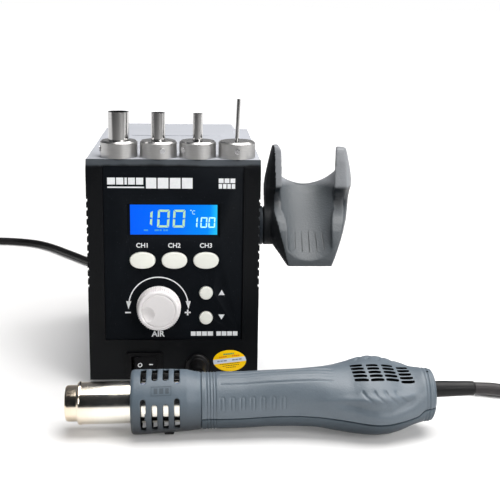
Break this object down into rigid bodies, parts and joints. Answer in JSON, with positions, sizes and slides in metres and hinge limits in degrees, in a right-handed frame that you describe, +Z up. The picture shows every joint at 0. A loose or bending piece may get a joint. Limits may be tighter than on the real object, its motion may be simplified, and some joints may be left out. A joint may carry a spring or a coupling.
{
  "type": "hot air rework station",
  "caption": "Hot air rework station: boxed base unit with display, buttons and airflow knob, side cradle, spare nozzles on top, and a fan handpiece lying in front on its cord.",
  "frame": {"origin": "on the bench, under the middle of the station case", "axes": "+Z up, +X to the right of the front panel, front panel faces -Y"},
  "size_m": [0.6128, 0.5063, 0.187],
  "materials": {
    "panel_black": "fine texture",
    "cover_grey": "satin",
    "zinc_steel": "satin",
    "screen_blue": "gloss",
    "lens_clear": "gloss",
    "button_ivory": "satin",
    "knob_white": "satin",
    "circuit_green": "satin",
    "switch_grey": "satin",
    "cord_black": "matte",
    "label_yellow": "gloss",
    "core_steel": "matte",
    "copper_winding": "satin",
    "terminal_green": "satin",
    "foot_rubber": "matte",
    "screw_steel": "polished",
    "cradle_grey": "fine texture",
    "bracket_grey": "fine texture",
    "nozzle_steel": "brushed",
    "tube_steel": "polished",
    "handle_grey": "fine texture",
    "guard_grey": "fine texture",
    "heater_ceramic": "matte",
    "heater_wire": "matte",
    "fan_black": "satin",
    "magnet_nickel": "polished",
    "standoff_brass": "satin",
    "rear_steel": "satin"
  },
  "bodies": {
    "root": {"base_chassis": "zinc_steel", "top_cover": "cover_grey", "front_bezel": "panel_black", "control_panel": "panel_black", "display_lens": "lens_clear", "lcd_module": "screen_blue", "control_board": "circuit_green", "tact_switches": "switch_grey", "airflow_potentiometer": "switch_grey", "power_switch_housing": "panel_black", "cable_gland": "cord_black", "oval_label": "label_yellow", "main_board": "circuit_green", "board_standoffs": "standoff_brass", "triac_heatsink": "zinc_steel", "transformer_core": "core_steel", "transformer_winding": "copper_winding", "terminal_block": "terminal_green", "fuse_holder": "switch_grey", "rear_panel": "rear_steel", "mains_strain_relief": "cord_black", "rubber_feet": "foot_rubber", "case_screws": "screw_steel", "cradle_bracket": "bracket_grey", "pivot_screw": "screw_steel", "handpiece_cord_lead": "cord_black", "handpiece_cord_coil": "cord_black", "handpiece_cord_return": "cord_black", "mains_cord_lead": "cord_black", "mains_cord_coil": "cord_black", "mains_cord_tail": "cord_black", "mains_plug": "cord_black"},
    "knob": {"airflow_knob": "knob_white", "potentiometer_shaft": "screw_steel"},
    "button_ch1": {"channel_button_1": "button_ivory"},
    "button_ch2": {"channel_button_2": "button_ivory"},
    "button_ch3": {"channel_button_3": "button_ivory"},
    "button_up": {"up_button": "button_ivory"},
    "button_down": {"down_button": "button_ivory"},
    "rocker": {"power_rocker": "panel_black"},
    "cradle_body": {"cradle": "cradle_grey", "cradle_magnet": "magnet_nickel"},
    "nozzle_a": {"nozzle_12mm": "nozzle_steel", "nozzle_screw_12mm": "screw_steel"},
    "nozzle_b": {"nozzle_8mm": "nozzle_steel", "nozzle_screw_8mm": "screw_steel"},
    "nozzle_c": {"nozzle_6mm": "nozzle_steel", "nozzle_screw_6mm": "screw_steel"},
    "nozzle_d": {"nozzle_needle": "nozzle_steel", "nozzle_screw_needle": "screw_steel"},
    "handpiece": {"heater_tube": "tube_steel", "heat_guard": "guard_grey", "upper_shell": "handle_grey", "lower_shell": "handle_grey", "heater_core": "heater_ceramic", "heater_coil": "heater_wire", "fan_housing": "fan_black", "shell_screws": "screw_steel", "handpiece_strain_relief": "cord_black"},
    "fan": {"fan_impeller": "fan_black"}
  },
  "joints": [
    {"name": "airflow_turn", "type": "hinge", "parent": "root", "child": "knob", "pos_m": [-0.0098, -0.0794, 0.0538], "axis": [0, 1, 0], "range_deg": [-30, 240]},
    {"name": "ch1_press", "type": "slide", "parent": "root", "child": "button_ch1", "axis": [0, 1, 0], "range_m": [0, 0.001], "stiffness_N_per_m": 1500, "springref_m": -0.0006},
    {"name": "ch2_press", "type": "slide", "parent": "root", "child": "button_ch2", "axis": [0, 1, 0], "range_m": [0, 0.001], "stiffness_N_per_m": 1500, "springref_m": -0.0006},
    {"name": "ch3_press", "type": "slide", "parent": "root", "child": "button_ch3", "axis": [0, 1, 0], "range_m": [0, 0.001], "stiffness_N_per_m": 1500, "springref_m": -0.0006},
    {"name": "up_press", "type": "slide", "parent": "root", "child": "button_up", "axis": [0, 1, 0], "range_m": [0, 0.001], "stiffness_N_per_m": 1500, "springref_m": -0.0006},
    {"name": "down_press", "type": "slide", "parent": "root", "child": "button_down", "axis": [0, 1, 0], "range_m": [0, 0.001], "stiffness_N_per_m": 1500, "springref_m": -0.0006},
    {"name": "power_rock", "type": "hinge", "parent": "root", "child": "rocker", "pos_m": [-0.0194, -0.0764, 0.015], "axis": [0, 0, 1], "range_deg": [-16, 0]},
    {"name": "cradle_tilt", "type": "hinge", "parent": "root", "child": "cradle_body", "pos_m": [0.0588, -0.046, 0.101], "axis": [1, 0, 0], "range_deg": [-25, 35]},
    {"name": "nozzle_12mm_lift", "type": "slide", "parent": "root", "child": "nozzle_a", "axis": [0, 0, 1], "range_m": [0, 0.06]},
    {"name": "nozzle_8mm_lift", "type": "slide", "parent": "root", "child": "nozzle_b", "axis": [0, 0, 1], "range_m": [0, 0.06]},
    {"name": "nozzle_6mm_lift", "type": "slide", "parent": "root", "child": "nozzle_c", "axis": [0, 0, 1], "range_m": [0, 0.06]},
    {"name": "nozzle_needle_lift", "type": "slide", "parent": "root", "child": "nozzle_d", "axis": [0, 0, 1], "range_m": [0, 0.06]},
    {"name": "handpiece_lift", "type": "slide", "parent": "root", "child": "handpiece", "axis": [0, 0, 1], "range_m": [0, 0.06]},
    {"name": "fan_spin", "type": "hinge", "parent": "handpiece", "child": "fan", "pos_m": [0.11648, -0.153, 0.02112], "axis": [-0.0148, -0.342, 0.9396], "continuous": true}
  ]
}
